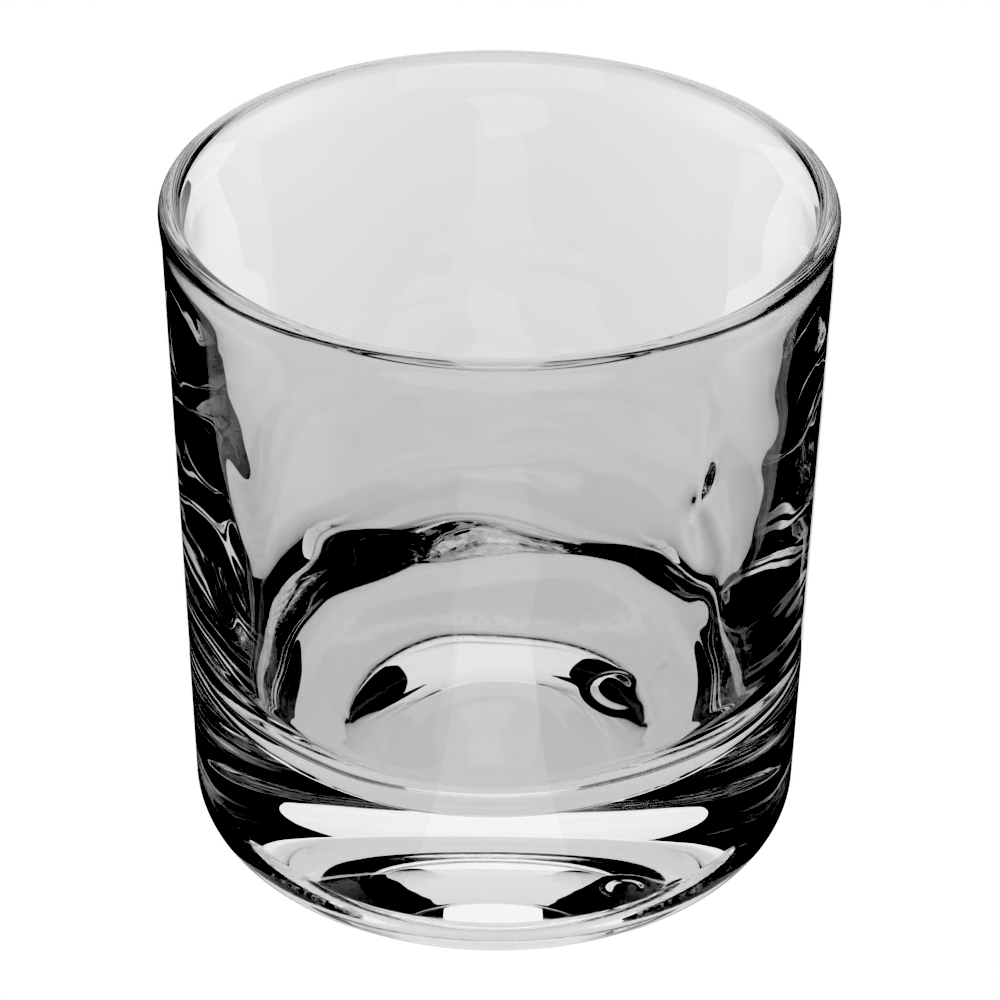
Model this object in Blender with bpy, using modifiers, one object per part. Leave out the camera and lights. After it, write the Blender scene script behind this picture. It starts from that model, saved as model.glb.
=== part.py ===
"""Whiskey tumbler: one piece of pressed clear glass.

The outside is round and tapers slightly towards the foot. The cavity is round
at the rim and passes into a very slightly three-sided shape near the floor,
and the wall thickens downwards. The foot is a thick disc of glass with a
domed recess underneath, inside a flat resting ring.

Metres, +Z up. The origin is the centre of the foot, on the table.
"""

import math

import bmesh
import bpy

# Driving dimensions
HEIGHT = 0.0900
RIM_RADIUS = 0.0424          # outside, at the lip
FOOT_RADIUS = 0.0397         # outside, where the tapered side would meet the table
HEEL_RADIUS = 0.0060         # round between the side and the resting ring
LIP_THICKNESS = 0.0028
LIP_LAND = 0.0006            # narrow flat left on top of the rounded lip
RING_INNER_RADIUS = 0.0230   # the resting ring runs from here out to the heel
RECESS_DEPTH = 0.0056
FLOOR_HEIGHT = 0.0168        # middle of the cavity floor above the table
FLOOR_DISH = 0.0015          # how far the floor's edge stands above its middle
FLOOR_FILLET = 0.0120        # round between the floor and the wall, across
FILLET_HEIGHT = 0.0120       # the same round, upwards
CAVITY_RADIUS_LOW = 0.0352   # mean inside radius just above the fillet
CORNER_RISE = 0.0006         # how far the three soft corners stand out from that mean
CORNER_AZIMUTH = math.radians(-107.0)   # one corner, turned from +X towards +Y
CORNER_TOP = 0.0600          # above this height the cavity is round
CORNER_FULL = 0.0240         # below this height the corners are at full rise

# Mesh fineness
SEGMENTS = 72
HEEL_POINTS = 7
LIP_POINTS = 5
WALL_RINGS = 12
FILLET_RINGS = 8
FLOOR_RINGS = 4
RECESS_POINTS = 8

CUTTER_CLEARANCE = 0.0060    # how far the cutter stands above the rim

GLASS_COLOR = (0.90, 0.91, 0.91, 1.0)
GLASS_IOR = 1.52


def clear_scene():
    """Remove every object, so that the script starts from nothing."""
    for old in list(bpy.data.objects):
        bpy.data.objects.remove(old, do_unlink=True)


def new_collection(name):
    """Make a collection in the scene."""
    collection = bpy.data.collections.new(name)
    bpy.context.scene.collection.children.link(collection)
    return collection


def clear_glass():
    """Clear soda-lime glass."""
    material = bpy.data.materials.new("clear_glass")
    material.use_nodes = True
    shader = material.node_tree.nodes["Principled BSDF"]
    shader.inputs["Base Color"].default_value = GLASS_COLOR
    shader.inputs["Roughness"].default_value = 0.0
    shader.inputs["Metallic"].default_value = 0.0
    shader.inputs["IOR"].default_value = GLASS_IOR
    shader.inputs["Transmission Weight"].default_value = 1.0
    return material


def steps(count):
    """Fractions 1/count, 2/count, ... 1."""
    return [index / count for index in range(1, count + 1)]


def smooth(value):
    """Ease from 0 to 1 with level ends."""
    value = min(max(value, 0.0), 1.0)
    return value * value * (3.0 - 2.0 * value)


def arc(centre_r, centre_z, radius, start_deg, end_deg, count):
    """Points on a circular arc in the r-z plane, both ends included."""
    points = []
    for index in range(count):
        angle = math.radians(start_deg + (end_deg - start_deg) * index / (count - 1))
        points.append((centre_r + radius * math.cos(angle), centre_z + radius * math.sin(angle)))
    return points


def blank_profile():
    """The outside of the glass from the axis at the top to the axis underneath."""
    lip = LIP_THICKNESS / 2
    lip_centre = RIM_RADIUS - lip
    profile = [(0.0, HEIGHT)]
    profile += arc(lip_centre, HEIGHT - lip, lip, 90.0, 0.0, LIP_POINTS)
    profile += arc(FOOT_RADIUS - HEEL_RADIUS, HEEL_RADIUS, HEEL_RADIUS, 0.0, -90.0, HEEL_POINTS)
    profile.append((RING_INNER_RADIUS, 0.0))
    for fraction in steps(RECESS_POINTS):
        radius = RING_INNER_RADIUS * (1.0 - fraction)
        rise = 1.0 - (radius / RING_INNER_RADIUS) ** 2
        profile.append((radius, RECESS_DEPTH * rise))
    return profile


def turned_blank(collection):
    """The solid outside form, turned about +Z with the Screw modifier."""
    mesh = bpy.data.meshes.new("tumbler")
    points = [(radius, 0.0, height) for radius, height in blank_profile()]
    edges = [(index, index + 1) for index in range(len(points) - 1)]
    mesh.from_pydata(points, edges, [])
    blank = bpy.data.objects.new("tumbler", mesh)
    collection.objects.link(blank)
    screw = blank.modifiers.new("turned", "SCREW")
    screw.axis = "Z"
    screw.angle = math.tau
    screw.steps = SEGMENTS
    screw.render_steps = SEGMENTS
    screw.use_merge_vertices = True
    screw.merge_threshold = 0.00001
    return blank


def corner_factor(height):
    """How much of the three-sided form is present: 0 at the rim, 1 near the floor."""
    return smooth((CORNER_TOP - height) / (CORNER_TOP - CORNER_FULL))


def cavity_stations():
    """Sections of the cavity from above the rim down to the floor.

    Each is (mean radius, height, corner rise). The lip's inner round comes
    first, then the tapered wall, the elliptical fillet and the dished floor.
    """
    lip = LIP_THICKNESS / 2
    lip_centre = RIM_RADIUS - lip
    land_angle = math.degrees(math.asin(1.0 - LIP_LAND / LIP_THICKNESS))
    lip_arc = arc(lip_centre, HEIGHT - lip, lip, 180.0 - land_angle, 180.0, LIP_POINTS)
    stations = [(lip_arc[0][0], HEIGHT + CUTTER_CLEARANCE, 0.0)]
    stations += [(radius, height, 0.0) for radius, height in lip_arc]
    wall_top = lip_arc[-1]
    fillet_top = FLOOR_HEIGHT + FLOOR_DISH + FILLET_HEIGHT
    for fraction in steps(WALL_RINGS):
        radius = wall_top[0] + (CAVITY_RADIUS_LOW - wall_top[0]) * fraction
        height = wall_top[1] + (fillet_top - wall_top[1]) * fraction
        stations.append((radius, height, CORNER_RISE * corner_factor(height)))
    for fraction in steps(FILLET_RINGS):
        angle = fraction * math.pi / 2
        radius = CAVITY_RADIUS_LOW - FLOOR_FILLET * (1.0 - math.cos(angle))
        height = fillet_top - FILLET_HEIGHT * math.sin(angle)
        stations.append((radius, height, CORNER_RISE * radius / CAVITY_RADIUS_LOW))
    floor_edge = CAVITY_RADIUS_LOW - FLOOR_FILLET
    for fraction in steps(FLOOR_RINGS)[:-1]:
        radius = floor_edge * (1.0 - fraction)
        height = FLOOR_HEIGHT + FLOOR_DISH * (radius / floor_edge) ** 2
        stations.append((radius, height, CORNER_RISE * radius / CAVITY_RADIUS_LOW))
    return stations


def cavity_ring(radius, height, rise):
    """One closed section: a circle pushed out at three corners."""
    ring = []
    for index in range(SEGMENTS):
        angle = math.tau * (index + 0.5) / SEGMENTS
        reach = radius + rise * math.cos(3.0 * (angle - CORNER_AZIMUTH))
        ring.append((reach * math.cos(angle), reach * math.sin(angle), height))
    return ring


def cavity_cutter(collection):
    """The space inside the glass, lofted between its round and three-sided sections."""
    mesh = bpy.data.meshes.new("cavity_cutter")
    form = bmesh.new()
    rings = [[form.verts.new(point) for point in cavity_ring(*station)] for station in cavity_stations()]
    top = form.verts.new((0.0, 0.0, HEIGHT + CUTTER_CLEARANCE))
    bottom = form.verts.new((0.0, 0.0, FLOOR_HEIGHT))
    for index in range(SEGMENTS):
        following = (index + 1) % SEGMENTS
        form.faces.new((top, rings[0][index], rings[0][following]))
        form.faces.new((bottom, rings[-1][following], rings[-1][index]))
        for upper, lower in zip(rings, rings[1:]):
            form.faces.new((upper[index], lower[index], lower[following], upper[following]))
    bmesh.ops.recalc_face_normals(form, faces=form.faces)
    form.to_mesh(mesh)
    form.free()
    cutter = bpy.data.objects.new("cavity_cutter", mesh)
    cutter.hide_render = True
    cutter.display_type = "WIRE"
    collection.objects.link(cutter)
    return cutter


def make_tumbler():
    """Turn the blank, cut the cavity and shade it smooth."""
    parts = new_collection("whiskey_tumbler")
    cutters = new_collection("cutters")
    tumbler = turned_blank(parts)
    hollow = tumbler.modifiers.new("cavity", "BOOLEAN")
    hollow.operation = "DIFFERENCE"
    hollow.solver = "EXACT"
    hollow.object = cavity_cutter(cutters)
    tumbler.data.materials.append(clear_glass())
    tumbler.data.shade_smooth()


def main():
    """Build the tumbler from an empty scene."""
    clear_scene()
    make_tumbler()


main()
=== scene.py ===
import math

import bpy
import numpy as np
from bpy.props import FloatProperty, FloatVectorProperty, IntProperty, PointerProperty
from mathutils import Euler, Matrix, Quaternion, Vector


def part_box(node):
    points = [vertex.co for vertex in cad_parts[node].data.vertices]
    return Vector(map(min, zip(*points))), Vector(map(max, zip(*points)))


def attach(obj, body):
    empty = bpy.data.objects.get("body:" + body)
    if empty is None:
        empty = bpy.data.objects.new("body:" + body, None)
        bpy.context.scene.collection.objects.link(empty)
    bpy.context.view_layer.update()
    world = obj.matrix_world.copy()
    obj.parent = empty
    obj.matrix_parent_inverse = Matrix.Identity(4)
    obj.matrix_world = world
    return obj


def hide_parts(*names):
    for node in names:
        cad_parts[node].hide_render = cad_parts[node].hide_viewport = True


# Clear pressed-glass whiskey tumbler on a white light table.
# Metres, +Z up, the foot's centre at the origin, the camera on the -Y side.

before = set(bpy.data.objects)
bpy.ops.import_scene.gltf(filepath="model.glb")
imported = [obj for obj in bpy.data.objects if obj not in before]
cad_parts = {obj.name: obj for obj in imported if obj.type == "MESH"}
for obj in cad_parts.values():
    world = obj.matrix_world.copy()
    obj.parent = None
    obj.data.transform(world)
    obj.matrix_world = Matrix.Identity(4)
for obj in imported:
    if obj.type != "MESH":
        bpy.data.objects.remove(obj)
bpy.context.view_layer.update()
GLASS_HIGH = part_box("tumbler")[1]

bl_info = {
    "name": "Whiskey tumbler",
    "version": (1, 0, 0),
    "blender": (4, 5, 0),
    "location": "View3D > Sidebar > Tumbler",
    "description": "Builds a heavy-based pressed whiskey tumbler and its light table",
    "category": "Add Mesh",
}

# Mesh rows along each stretch of the outline, from the underside's middle to the floor's middle.
RECESS_ROWS = 30
RING_ROWS = 4
HEEL_ROWS = 20
SIDE_ROWS = 30
LIP_ROWS = 32
WALL_ROWS = 100
FILLET_ROWS = 36
FLOOR_ROWS = 60

SIDE_CROWDING = 2.2  # how strongly the side's rows crowd towards the lip
LIP_CLEARANCE = 0.006  # the stretch under the lip that has no ripples or press marks
LIP_FADE = 0.02  # height over which they grow below it
FLOOR_FADE = 0.025  # radius over which they grow outwards from the floor's middle
WAVE_COUNT = 16
WAVE_SEED = 7
MARK_RADIUS = 0.037  # radius at which the press marks' widths are measured
MARKED_HEIGHT = 0.008  # the floor's marks end this high above its middle
MARKED_FADE = 0.004  # height over which they fade out there
CURL_MIDDLE = (0.0169, -0.0035)
CURL_RADIUS = 0.0030
CURL_GROWTH = 0.0012  # change of that radius over half a turn
CURL_HEIGHT = 0.00032
RIDGE_WIDTH = 0.0007
CREASE_MIDDLE = (-0.0124, -0.0200)
CREASE_HEIGHT = 0.00022  # also the height of the curl's tail
TABLE_HALF = 6.0
TABLE_DROP = 0.0006  # the white table lies just under the foot
STRIP_DROP = 0.0003  # the lit strip lies between the table and the foot
STRIP_STEP = 0.008  # depth over which the strip's narrow end widens
GLOW_NEAR, GLOW_FAR = -0.05, 0.20  # depths between which the strip grows brighter
GLOW_REACH = 0.05  # half width over which it grows brighter sideways
GLOW_MIDDLE, GLOW_SIDE = 0.90, 1.03


def length(name, description, default):
    """A size in metres, shown to a tenth of a millimetre."""
    return FloatProperty(name=name, description=description, default=default, unit="LENGTH", precision=4)


def number(name, description, default):
    """A plain number: a brightness, a share or a refractive index."""
    return FloatProperty(name=name, description=description, default=default)


def turn(name, description, default):
    """An angle in radians."""
    return FloatProperty(name=name, description=description, default=default, subtype="ANGLE")


class TumblerSizes(bpy.types.PropertyGroup):
    """Sizes of the glass."""

    rim_radius: length("Rim radius", "Outside radius at the lip", GLASS_HIGH[0])
    height: length("Height", "From the table to the top of the lip", GLASS_HIGH[2])
    foot_radius: length("Foot radius", "Outside radius where the tapered side would meet the table", 0.0397)
    heel_radius: length("Heel radius", "Round between the side and the resting ring", 0.0060)
    lip_thickness: length("Lip thickness", "Thickness of the fully rounded lip", 0.0028)
    bead: length("Bead", "How far the lip stands out from the wall under it, on each side", 0.00024)
    bead_reach: length("Bead reach", "Height over which the bead runs out into the wall", 0.0042)
    ring_radius: length("Ring radius", "Inner edge of the flat resting ring", 0.0230)
    recess_depth: length("Recess depth", "Rise of the domed recess under the foot", 0.0056)
    floor_height: length("Floor height", "Middle of the cavity floor above the table", 0.0168)
    floor_dish: length("Floor dish", "How far the floor's edge stands above its middle", 0.0015)
    fillet_width: length("Fillet width", "Round between floor and wall, across", 0.0120)
    fillet_height: length("Fillet height", "Round between floor and wall, upwards", 0.0120)
    cavity_radius: length("Cavity radius", "Mean inside radius of the lower wall", 0.0352)
    corner_full: length("Corner full", "Height where the three soft corners stand out most", 0.0240)
    corner_rise: length("Corner rise", "How far the corners stand out there", 0.0005)
    corner_rise_low: length("Low corner rise", "The same at the cavity floor", 0.0006)
    corner_top: length("Corner top", "Height above which the cavity is round", 0.0600)
    corner_angle: turn("Corner angle", "Direction of one corner, from +X towards +Y", math.radians(-107.0))
    ripple: length("Ripple", "Height of the soft waves that pressing leaves on the inside wall", 0.00012)
    columns: IntProperty(name="Columns", description="Mesh columns round the glass", default=310)


class TumblerGlass(bpy.types.PropertyGroup):
    """The glass itself."""

    tint: FloatVectorProperty(
        name="Tint",
        description="Light that one passage through a wall keeps",
        subtype="COLOR",
        default=(0.89, 0.895, 0.895),
        min=0.0,
        max=1.0,
    )
    refraction: number("Refraction", "Index of refraction", 1.52)
    wear: number("Wear", "Roughness of the scuffed resting ring", 0.22)
    peel: length("Peel", "Height of the fine unevenness of the pressed surface", 0.00002)


class StudioSettings(bpy.types.PropertyGroup):
    """The light table, its flags and the camera."""

    strip_near_width: length("Strip near width", "Half width of the lit strip under the glass", 0.035)
    strip_far_width: length("Strip far width", "Half width of the lit strip well behind the glass", 0.110)
    strip_waist: length("Strip waist", "How far behind the middle the lit strip starts to widen", 0.030)
    strip_flare: length("Strip flare", "Where the lit strip reaches its far width", 0.055)
    strip_nose: length("Strip nose", "Half width of the lit strip's narrow near end", 0.020)
    strip_tip: length("Strip tip", "Where that narrow end stops", -0.110)
    strip_near: length("Strip near", "Where it meets the near width", -0.040)
    strip_far: length("Strip far", "Far end of the lit strip", 0.42)
    near_light: number("Near light", "Brightness of the strip's near end", 0.78)
    far_light: number("Far light", "Brightness of the strip's far end", 1.03)
    flag_gap: length("Flag gap", "Distance of the left black flag from the axis", 0.048)
    flag_gap_right: length("Right flag gap", "Distance of the right black flag from the axis", 0.053)
    flag_near: length("Flag near", "Near end of the side flags", -0.020)
    flag_far: length("Flag far", "Far end of the side flags", 0.034)
    flag_height: length("Flag height", "Height of the side flags", 0.110)
    screen_half_width: length("Screen half width", "Half width of the bright screen behind", 0.14)
    screen_height: length("Screen height", "Height of the bright screen behind", 0.55)
    screen_light: number("Screen light", "Brightness of the screen", 1.05)
    canopy_near: length("Canopy near", "Near edge of the overhead light", 0.05)
    canopy_half_width: length("Canopy half width", "Half width of the overhead light", 0.10)
    canopy_light: number("Canopy light", "Brightness of the overhead light", 1.05)
    card_distance: length("Card distance", "Distance of the low front card from the axis", 0.20)
    card_half_width: length("Card half width", "Half width of the front card", 0.16)
    card_height: length("Card height", "Height of the front card", 0.12)
    card_light: number("Card light", "Brightness of the front card", 0.90)
    black_level: number("Black level", "Brightness that is developed as black", 0.07)
    camera_distance: length("Camera distance", "How far in front of the glass the camera stands", 0.4965)
    camera_height: length("Camera height", "Camera above the table", 0.3487)
    camera_pitch: turn("Camera pitch", "Tilt of the camera below the horizon", 0.548)
    camera_roll: turn("Camera roll", "Lean of the camera about its own view", 0.0095)
    focal_length: number("Focal length", "Lens, in millimetres", 162.0)
    lens_shift: number("Lens shift", "Sideways shift of the frame, as a share of its width", 0.0032)


# ---------------------------------------------------------------- surfaces


def ease(value):
    """0 below 0, 1 above 1 and 3v^2 - 2v^3 between."""
    value = np.clip(value, 0.0, 1.0)
    return value * value * (3.0 - 2.0 * value)


def bell(distance, width):
    """The Gaussian bell exp(-(d / w)^2)."""
    return np.exp(-((distance / width) ** 2))


def turn_apart(angle, middle):
    """Signed angle between two directions, wrapped to -pi..pi."""
    return (angle - middle + math.pi) % math.tau - math.pi


def foot_profile(sizes):
    """Radius and height from the middle of the underside out to the top of the heel.

    The recess is depth (1 - t^2) with t the share of its radius, the ring
    is flat, and the heel is a quarter circle.
    """
    share = np.linspace(0.0, 1.0, RECESS_ROWS)
    recess_r = share * sizes.ring_radius
    recess_z = sizes.recess_depth * (1.0 - share**2)
    ring_edge = sizes.foot_radius - sizes.heel_radius
    ring_r = np.linspace(sizes.ring_radius, ring_edge, RING_ROWS + 1)[1:]
    angle = np.linspace(-math.pi / 2, 0.0, HEEL_ROWS + 1)[1:]
    heel_r = ring_edge + sizes.heel_radius * np.cos(angle)
    heel_z = sizes.heel_radius * (1.0 + np.sin(angle))
    return (
        np.concatenate([recess_r, ring_r, heel_r]),
        np.concatenate([recess_z, np.zeros(RING_ROWS), heel_z]),
    )


def side_profile(sizes):
    """Radius and height up the straight tapered side, out into the bead and over the half-round lip.

    The rows crowd towards the lip as 1 - (1 - u)^crowding.
    """
    lip = sizes.lip_thickness / 2
    share = 1.0 - (1.0 - np.linspace(0.0, 1.0, SIDE_ROWS + 1)[1:]) ** SIDE_CROWDING
    lip_foot = sizes.height - lip
    side_z = sizes.heel_radius + (lip_foot - sizes.heel_radius) * share
    bead = sizes.bead * ease(1.0 - (lip_foot - side_z) / sizes.bead_reach)
    side_r = sizes.foot_radius + (sizes.rim_radius - sizes.bead - sizes.foot_radius) * share + bead
    angle = np.linspace(0.0, math.pi, LIP_ROWS + 1)[1:]
    lip_r = sizes.rim_radius - lip + lip * np.cos(angle)
    lip_z = lip_foot + lip * np.sin(angle)
    return np.concatenate([side_r, lip_r]), np.concatenate([side_z, lip_z])


def cavity_profile(sizes):
    """Mean radius and height down the inside wall, round the fillet and in to the axis.

    The wall runs straight from under the lip's bead to the cavity radius, the
    fillet is a quarter ellipse and the floor is a shallow paraboloid.
    """
    mouth = sizes.rim_radius - sizes.lip_thickness
    top = sizes.height - sizes.lip_thickness / 2
    fillet_top = sizes.floor_height + sizes.floor_dish + sizes.fillet_height
    wall_z = np.linspace(top, fillet_top, WALL_ROWS + 1)[1:]
    share = (wall_z - fillet_top) / (top - fillet_top)
    under_lip = mouth + sizes.bead
    bead = sizes.bead * ease(1.0 - (top - wall_z) / sizes.bead_reach)
    wall_r = sizes.cavity_radius + (under_lip - sizes.cavity_radius) * share - bead
    angle = np.linspace(0.0, math.pi / 2, FILLET_ROWS + 1)[1:]
    fillet_r = sizes.cavity_radius - sizes.fillet_width * (1.0 - np.cos(angle))
    fillet_z = fillet_top - sizes.fillet_height * np.sin(angle)
    floor_edge = sizes.cavity_radius - sizes.fillet_width
    share = np.linspace(1.0, 0.0, FLOOR_ROWS + 1)[1:]
    floor_z = sizes.floor_height + sizes.floor_dish * share**2
    return (
        np.concatenate([wall_r, fillet_r, floor_edge * share]),
        np.concatenate([wall_z, fillet_z, floor_z]),
    )


def corner_rise(sizes, height):
    """How far the corners stand out: nothing near the rim, easing in to one rise and on to the floor's."""
    growth = ease((sizes.corner_top - height) / (sizes.corner_top - sizes.corner_full))
    low = ease((sizes.corner_full - height) / (sizes.corner_full - sizes.floor_height))
    return growth * (sizes.corner_rise + (sizes.corner_rise_low - sizes.corner_rise) * low)


def ripples(angle, height):
    """Soft waves: a sum of products of cosines round the wall and up it, about 1 high."""
    rng = np.random.default_rng(WAVE_SEED)
    total = np.zeros(np.broadcast(angle, height).shape)
    for _ in range(WAVE_COUNT):
        around = rng.integers(2, 11)
        upward = rng.uniform(60.0, 420.0)
        phase = rng.uniform(0.0, math.tau, 2)
        weight = rng.uniform(0.3, 1.0) / (1.0 + 0.12 * around)
        lean = 0.4 * np.sin(height * upward * 0.7)
        total += weight * np.cos(around * angle + phase[0] + lean) * np.cos(upward * height + phase[1])
    return total / 2.0


def press_marks(angle, height):
    """Shallow dents and swellings on the inside wall: a sum of leaning Gaussian bells, outwards positive.

    Each is its direction in degrees from +X, its height, its half widths round
    and up the wall, its depth and how far it leans sideways per unit of height.
    """
    marks = (
        (-52.0, 0.0690, 0.0017, 0.0046, 0.00042, 0.10),
        (-50.5, 0.0590, 0.0019, 0.0060, -0.00030, -0.25),
        (-46.0, 0.0490, 0.0022, 0.0060, 0.00020, -0.35),
        (-115.0, 0.0770, 0.0026, 0.0038, -0.00018, 0.30),
        (-96.0, 0.0750, 0.0020, 0.0030, 0.00014, 0.0),
        (-80.0, 0.0745, 0.0028, 0.0034, -0.00015, -0.20),
        (-145.0, 0.0580, 0.0020, 0.0060, 0.00022, -0.20),
        (-152.0, 0.0440, 0.0026, 0.0050, -0.00025, -0.30),
    )
    total = np.zeros(np.broadcast(angle, height).shape)
    for direction, middle, across, along, depth, lean in marks:
        sideways = MARK_RADIUS * turn_apart(angle, math.radians(direction)) - lean * (height - middle)
        total += depth * bell(sideways, across) * bell(height - middle, along)
    return total


def floor_marks(across, forward):
    """Height of the curled shear mark and of a small crease on the cavity floor.

    The curl is a ridge along three quarters of a circle that fades towards
    its tail. The crease is a ridge on a short straight line.
    """
    east, north = across - CURL_MIDDLE[0], forward - CURL_MIDDLE[1]
    reach = np.hypot(east, north)
    turned = turn_apart(np.arctan2(north, east), math.radians(140.0)) / math.pi
    ridge = bell(reach - CURL_RADIUS - CURL_GROWTH * turned, RIDGE_WIDTH)
    curl = CURL_HEIGHT * ridge * ease(1.3 - np.abs(turned) * 1.2)
    tail = CREASE_HEIGHT * bell(east - 0.0040 - 0.6 * north, RIDGE_WIDTH) * bell(north - 0.0035, 0.0030)
    along = forward - CREASE_MIDDLE[1]
    crease = CREASE_HEIGHT * bell(across - CREASE_MIDDLE[0] + 0.9 * along, 0.0008) * bell(along, 0.0030)
    return curl + tail + crease


def glass_surface(sizes):
    """The whole skin of the glass as a grid: rows from the underside's middle to the floor's middle.

    Outside rows are circles. Inside rows are r + rise s cos(3 (angle - corner)), with
    s the radius as a share of the cavity's. The ripples and press marks are added to
    the wall and fade out under the lip and towards the floor's middle.
    """
    foot_r, foot_z = foot_profile(sizes)
    side_r, side_z = side_profile(sizes)
    cavity_r, cavity_z = cavity_profile(sizes)
    outside = len(foot_r) + len(side_r)
    radius = np.concatenate([foot_r, side_r, cavity_r])[:, None]
    height = np.concatenate([foot_z, side_z, cavity_z])[:, None]
    inside = (np.arange(len(radius)) >= outside)[:, None]
    angle = np.linspace(0.0, math.tau, sizes.columns, endpoint=False)[None, :]
    share = np.clip(radius / sizes.cavity_radius, 0.0, 1.0)
    lobes = corner_rise(sizes, height) * share * np.cos(3.0 * (angle - sizes.corner_angle))
    fade = ease((sizes.height - LIP_CLEARANCE - height) / LIP_FADE) * ease(radius / FLOOR_FADE)
    waves = sizes.ripple * fade * ripples(angle, height)
    reach = radius + inside * (lobes + waves + fade * press_marks(angle, height))
    across, forward = reach * np.cos(angle), reach * np.sin(angle)
    on_floor = inside * ease((sizes.floor_height + MARKED_HEIGHT - height) / MARKED_FADE)
    return np.stack([across, forward, height + on_floor * floor_marks(across, forward)], axis=-1)


def closed_mesh(name, grid):
    """A closed mesh from a grid whose first and last rows are single points on the axis."""
    rows, columns = grid.shape[:2]
    first, last = grid[0].mean(axis=0), grid[-1].mean(axis=0)
    points = np.concatenate([first[None], grid[1:-1].reshape(-1, 3), last[None]])
    here = 1 + np.arange((rows - 3) * columns).reshape(rows - 3, columns)
    right = np.roll(here, -1, axis=1)
    quads = np.stack([here, right, right + columns, here + columns], axis=-1).reshape(-1, 4)
    ring = 1 + np.arange(columns)
    final = ring + (rows - 3) * columns
    start = np.stack([np.zeros(columns, int), np.roll(ring, -1), ring], axis=-1)
    finish = np.stack([np.full(columns, len(points) - 1), final, np.roll(final, -1)], axis=-1)
    mesh = bpy.data.meshes.new(name)
    mesh.from_pydata(points.tolist(), [], start.tolist() + quads.tolist() + finish.tolist())
    mesh.shade_smooth()
    return mesh


def new_object(name, mesh):
    """An object at the origin, linked to the scene."""
    made = bpy.data.objects.new(name, mesh)
    bpy.context.scene.collection.objects.link(made)
    return made


# ---------------------------------------------------------------- shader maths


class Wire:
    """A shader socket that takes part in Python expressions."""

    def __init__(self, graph, socket):
        self.graph = graph
        self.socket = socket

    def math(self, operation, other, swap=False):
        """A Math node on this socket and another value."""
        values = (other, self) if swap else (self, other)
        return self.graph.node("ShaderNodeMath", {"operation": operation}, values)

    def __add__(self, other):
        return self.math("ADD", other)

    __radd__ = __add__

    def __sub__(self, other):
        return self.math("SUBTRACT", other)

    def __rsub__(self, other):
        return self.math("SUBTRACT", other, swap=True)

    def __mul__(self, other):
        return self.math("MULTIPLY", other)

    __rmul__ = __mul__

    def __truediv__(self, other):
        return self.math("DIVIDE", other)

    def __rtruediv__(self, other):
        return self.math("DIVIDE", other, swap=True)


class Graph:
    """The node tree of one material."""

    def __init__(self, name):
        self.material = bpy.data.materials.new(name)
        self.material.use_nodes = True
        self.tree = self.material.node_tree
        self.tree.nodes.clear()

    def node(self, kind, settings=None, inputs=(), output=0):
        """Add a node: settings first, then its inputs by place or by name."""
        made = self.tree.nodes.new(kind)
        for key, value in (settings or {}).items():
            setattr(made, key, value)
        pairs = inputs.items() if isinstance(inputs, dict) else enumerate(inputs)
        for key, value in pairs:
            if isinstance(value, Wire):
                self.tree.links.new(value.socket, made.inputs[key])
            else:
                made.inputs[key].default_value = value
        return Wire(self, made.outputs[output]) if made.outputs else None


def glass_material(glass):
    """Clear glass: a grey tint, a scuffed resting ring and a faint unevenness all over."""
    graph = Graph("clear_glass")
    place = graph.node("ShaderNodeTexCoord", output="Object")
    height = graph.node("ShaderNodeSeparateXYZ", inputs=[place], output="Z")
    scuffs = graph.node(
        "ShaderNodeTexNoise", inputs={"Vector": place, "Scale": 900.0, "Detail": 4.0, "Roughness": 0.7}
    )
    contact = graph.node("ShaderNodeMapRange", inputs=[height, 0.0002, 0.0006, 1.0, 0.0])
    worn = contact * graph.node("ShaderNodeMapRange", inputs=[scuffs, 0.45, 0.62, 0.0, 1.0])
    peel = graph.node("ShaderNodeTexNoise", inputs={"Vector": place, "Scale": 120.0, "Detail": 1.0})
    bump = graph.node(
        "ShaderNodeBump",
        inputs={"Strength": 1.0, "Distance": glass.peel, "Height": peel},
    )
    shader = graph.node(
        "ShaderNodeBsdfPrincipled",
        inputs={
            "Base Color": (*glass.tint, 1.0),
            "Roughness": worn * glass.wear,
            "IOR": glass.refraction,
            "Transmission Weight": 1.0,
            "Normal": bump,
        },
    )
    graph.node("ShaderNodeOutputMaterial", inputs={"Surface": shader})
    return graph.material


def glow_material(name, brightness_of):
    """A plain lit surface; brightness_of turns the graph into one brightness or a varying one."""
    graph = Graph(name)
    value = brightness_of(graph)
    colour = value if isinstance(value, Wire) else (value, value, value, 1.0)
    light = graph.node("ShaderNodeEmission", inputs={"Color": colour, "Strength": 1.0})
    graph.node("ShaderNodeOutputMaterial", inputs={"Surface": light})
    return graph.material


# ---------------------------------------------------------------- stage


def panel(name, corners, material):
    """A flat stage surface."""
    mesh = bpy.data.meshes.new(name)
    mesh.from_pydata(corners, [], [tuple(range(len(corners)))])
    mesh.materials.append(material)
    made = new_object(name, mesh)
    return made


def camera_only(made):
    """Seen directly, but not through or in the glass."""
    made.visible_transmission = False
    made.visible_glossy = False
    made.visible_diffuse = False
    made.visible_shadow = False


def glass_only(made):
    """Seen through and in the glass, but not directly."""
    made.visible_camera = False
    made.visible_shadow = False
    made.visible_diffuse = False


def floor_and_world():
    """The white surface and the white surroundings that the camera sees."""
    white = glow_material("white_table", lambda graph: 1.0)
    outline = ((-1, -1), (1, -1), (1, 1), (-1, 1))
    corners = [(TABLE_HALF * across, TABLE_HALF * forward, -TABLE_DROP) for across, forward in outline]
    camera_only(panel("floor", corners, white))
    world = bpy.data.worlds.new("white_room")
    world.use_nodes = True
    world.node_tree.nodes["Background"].inputs["Color"].default_value = (1.0, 1.0, 1.0, 1.0)
    seen = world.cycles_visibility
    seen.diffuse = False
    seen.glossy = False
    seen.transmission = False
    bpy.context.scene.world = world


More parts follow.
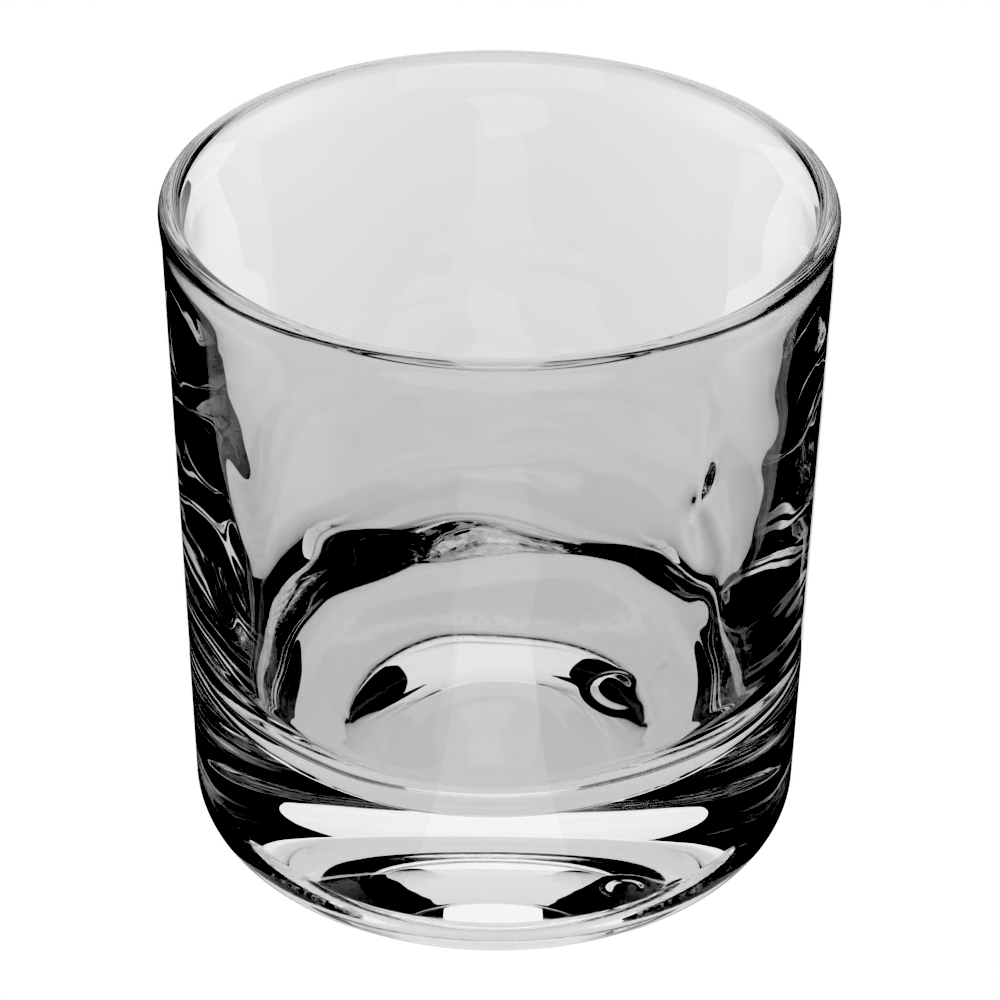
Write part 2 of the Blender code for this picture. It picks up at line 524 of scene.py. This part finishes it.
def lit_strip(studio):
    """The lit strip of table under and behind the glass, brighter towards its far end and its sides."""
    stations = (
        (studio.strip_tip, studio.strip_nose),
        (studio.strip_near - STRIP_STEP, studio.strip_nose),
        (studio.strip_near, studio.strip_near_width),
        (studio.strip_waist, studio.strip_near_width),
        (studio.strip_flare, studio.strip_far_width),
        (studio.strip_far, studio.strip_far_width),
    )
    corners = [(width, depth, -STRIP_DROP) for depth, width in stations]
    corners += [(-width, depth, -STRIP_DROP) for depth, width in reversed(stations)]

    def brightness(graph):
        place = graph.node("ShaderNodeTexCoord", output="Object")
        depth = graph.node("ShaderNodeSeparateXYZ", inputs=[place], output="Y")
        across = graph.node("ShaderNodeSeparateXYZ", inputs=[place], output="X")
        squared = across * across
        along = graph.node(
            "ShaderNodeMapRange",
            inputs=[depth, GLOW_NEAR, GLOW_FAR, studio.near_light, studio.far_light],
        )
        sideways = graph.node(
            "ShaderNodeMapRange",
            inputs=[squared, 0.0, GLOW_REACH**2, GLOW_MIDDLE, GLOW_SIDE],
        )
        return along * sideways

    made = panel("lit_strip", corners, glow_material("lit_strip", brightness))
    glass_only(made)
    return made


def side_flags(studio):
    """The two black cards that stand close to the glass and draw its dark edges."""
    black = glow_material("black_card", lambda graph: 0.0)
    near, far, top = studio.flag_near, studio.flag_far, studio.flag_height
    made = []
    for gap in (-studio.flag_gap, studio.flag_gap_right):
        corners = [(gap, near, 0.0), (gap, far, 0.0), (gap, far, top), (gap, near, top)]
        made.append(panel("flag", corners, black))
        glass_only(made[-1])
    return made


def lit_card(name, half, near, far, light):
    """A bright rectangle for the glass alone; near and far are its two edges' depth and height."""
    corners = [(-half, *near), (half, *near), (half, *far), (-half, *far)]
    made = panel(name, corners, glow_material(name, lambda graph: light))
    glass_only(made)
    return made


def back_screen(studio):
    """The bright screen that stands behind the table."""
    far, top = studio.strip_far, studio.screen_height
    return lit_card("back_screen", studio.screen_half_width, (far, 0.0), (far, top), studio.screen_light)


def overhead_canopy(studio):
    """The soft light above and behind the glass, which joins the screen's top."""
    half, top = studio.canopy_half_width, studio.screen_height
    near, far = (studio.canopy_near, top), (studio.strip_far, top)
    return lit_card("overhead_canopy", half, near, far, studio.canopy_light)


def front_card(studio):
    """The low card in front, under the camera's view, that brightens the far edge of the cavity floor."""
    near, top = -studio.card_distance, studio.card_height
    return lit_card("front_card", studio.card_half_width, (near, 0.0), (near, top), studio.card_light)


def turntable(camera, riders):
    """An empty on the glass's axis that keeps the lights square to the camera."""
    axis = bpy.data.objects.new("turntable", None)
    bpy.context.scene.collection.objects.link(axis)
    follow = axis.constraints.new("LOCKED_TRACK")
    follow.target = camera
    follow.track_axis = "TRACK_NEGATIVE_Y"
    follow.lock_axis = "LOCK_Z"
    for rider in riders:
        rider.parent = axis


def studio_camera(studio):
    """The camera, in front of the glass and looking down into it."""
    data = bpy.data.cameras.new("camera")
    data.lens = studio.focal_length
    data.shift_x = studio.lens_shift
    data.clip_start = 0.01
    data.clip_end = 20.0
    camera = bpy.data.objects.new("camera", data)
    camera.location = (0.0, -studio.camera_distance, studio.camera_height)
    level = Euler((math.pi / 2 - studio.camera_pitch, 0.0, 0.0)).to_quaternion()
    camera.rotation_euler = (level @ Quaternion((0.0, 0.0, 1.0), studio.camera_roll)).to_euler()
    bpy.context.scene.collection.objects.link(camera)
    bpy.context.scene.camera = camera
    return camera


def light_paths(studio):
    """Enough bounces for light that runs round inside the wall and base."""
    cycles = bpy.context.scene.cycles
    cycles.max_bounces = 32
    cycles.transmission_bounces = 32
    cycles.glossy_bounces = 24
    cycles.sample_clamp_indirect = 0.0
    view = bpy.context.scene.view_settings
    view.view_transform = "Standard"
    view.use_curve_mapping = True
    view.curve_mapping.black_level = (studio.black_level,) * 3
    view.curve_mapping.update()


# ---------------------------------------------------------------- operators


class TUMBLER_OT_glass(bpy.types.Operator):
    """Build the tumbler in clear glass"""

    bl_idname = "tumbler.glass"
    bl_label = "Build tumbler"

    def execute(self, context):
        sizes = context.scene.tumbler_sizes
        piece = new_object("tumbler_glass", closed_mesh("tumbler_glass", glass_surface(sizes)))
        piece.data.materials.append(glass_material(context.scene.tumbler_glass))
        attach(piece, "root")
        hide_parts("tumbler")
        return {"FINISHED"}


class TUMBLER_OT_stage(bpy.types.Operator):
    """Build the light table, its flags and the camera"""

    bl_idname = "tumbler.stage"
    bl_label = "Build stage"

    def execute(self, context):
        studio = context.scene.tumbler_studio
        camera = studio_camera(studio)
        floor_and_world()
        turntable(
            camera,
            [
                lit_strip(studio),
                back_screen(studio),
                overhead_canopy(studio),
                front_card(studio),
                *side_flags(studio),
            ],
        )
        light_paths(studio)
        return {"FINISHED"}


class TUMBLER_PT_panel(bpy.types.Panel):
    """Sizes, glass, studio and the two builders"""

    bl_idname = "TUMBLER_PT_panel"
    bl_label = "Whiskey tumbler"
    bl_space_type = "VIEW_3D"
    bl_region_type = "UI"
    bl_category = "Tumbler"

    def draw(self, context):
        scene = context.scene
        for group in (scene.tumbler_sizes, scene.tumbler_glass, scene.tumbler_studio):
            box = self.layout.box()
            for key in group.__annotations__:
                box.prop(group, key)
        self.layout.operator(TUMBLER_OT_glass.bl_idname)
        self.layout.operator(TUMBLER_OT_stage.bl_idname)


CLASSES = (TumblerSizes, TumblerGlass, StudioSettings, TUMBLER_OT_glass, TUMBLER_OT_stage, TUMBLER_PT_panel)


def register():
    """Add the classes and their settings to Blender."""
    for kind in CLASSES:
        bpy.utils.register_class(kind)
    bpy.types.Scene.tumbler_sizes = PointerProperty(type=TumblerSizes)
    bpy.types.Scene.tumbler_glass = PointerProperty(type=TumblerGlass)
    bpy.types.Scene.tumbler_studio = PointerProperty(type=StudioSettings)


def unregister():
    """Take them out again."""
    del bpy.types.Scene.tumbler_studio
    del bpy.types.Scene.tumbler_glass
    del bpy.types.Scene.tumbler_sizes
    for kind in reversed(CLASSES):
        bpy.utils.unregister_class(kind)


def main():
    """Build everything."""
    register()
    bpy.ops.tumbler.glass()
    bpy.ops.tumbler.stage()


if __name__ == "__main__":
    main()
